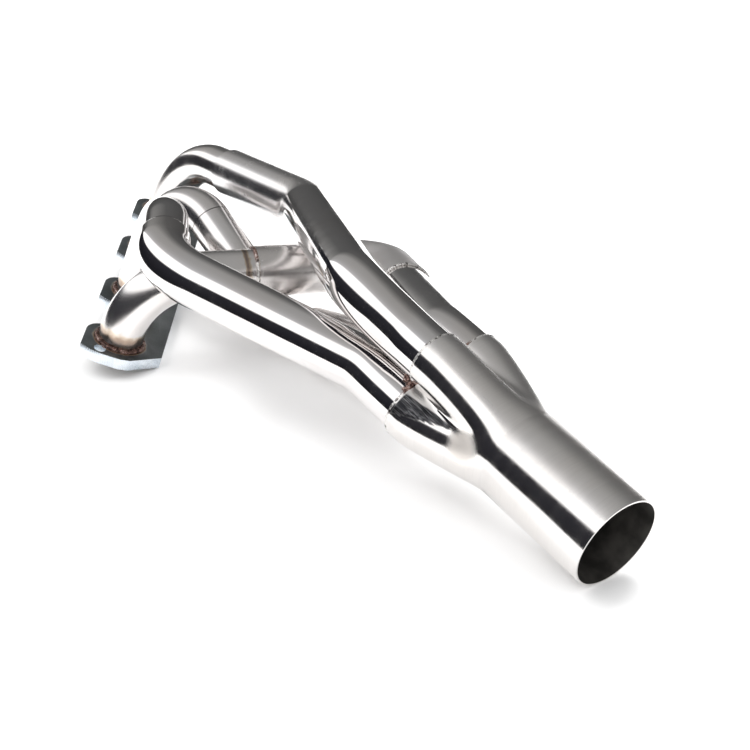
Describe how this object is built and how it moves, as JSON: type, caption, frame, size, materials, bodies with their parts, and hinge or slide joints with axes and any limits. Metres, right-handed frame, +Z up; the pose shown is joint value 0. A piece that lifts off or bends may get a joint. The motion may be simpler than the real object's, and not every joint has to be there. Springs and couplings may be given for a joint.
{
  "type": "exhaust manifold",
  "caption": "Welded tubular exhaust manifold: a head flange with one tube per port, the tubes crossing over each other and merging into a single round outlet.",
  "frame": {"origin": "centre of the flange's mating face, midway between the second and third ports", "axes": "+Z up from the bench it lies on; +Y along the flange from port 1 to port 4; +X across the flange towards the collector; the mating face is tipped 18.8 degrees about Y"},
  "size_m": [0.467, 0.6678, 0.1643],
  "materials": {
    "polished_tube": "mirror-polished stainless steel",
    "brushed_collector": "stainless steel, finely brushed across its length",
    "flange_plate": "dark satin plate with bright cut edges",
    "weld_bead": "rippled weld, heat-tinted brown"
  },
  "bodies": {
    "root": {"head_flange": "flange_plate", "port_weld_1": "weld_bead", "port_weld_2": "weld_bead", "port_weld_3": "weld_bead", "port_weld_4": "weld_bead", "primary_1_port_bend": "polished_tube", "primary_1_crossover": "polished_tube", "primary_1_side_bend": "polished_tube", "primary_1_run": "polished_tube", "primary_2_riser": "polished_tube", "primary_2_front_bend": "polished_tube", "primary_2_run": "polished_tube", "primary_3_port_bend": "polished_tube", "primary_3_drop": "polished_tube", "primary_3_run": "polished_tube", "primary_4_port_bend": "polished_tube", "primary_4_crossover": "polished_tube", "primary_4_run": "polished_tube", "slip_weld_1": "weld_bead", "slip_weld_2": "weld_bead", "slip_weld_3": "weld_bead", "slip_weld_4": "weld_bead", "elbow_weld_1": "weld_bead", "elbow_weld_2": "weld_bead", "collector_merge": "brushed_collector", "collector_outlet": "brushed_collector", "collector_plug": "brushed_collector", "socket_weld_1": "weld_bead", "socket_weld_2": "weld_bead", "socket_weld_3": "weld_bead", "socket_weld_4": "weld_bead"}
  },
  "joints": []
}
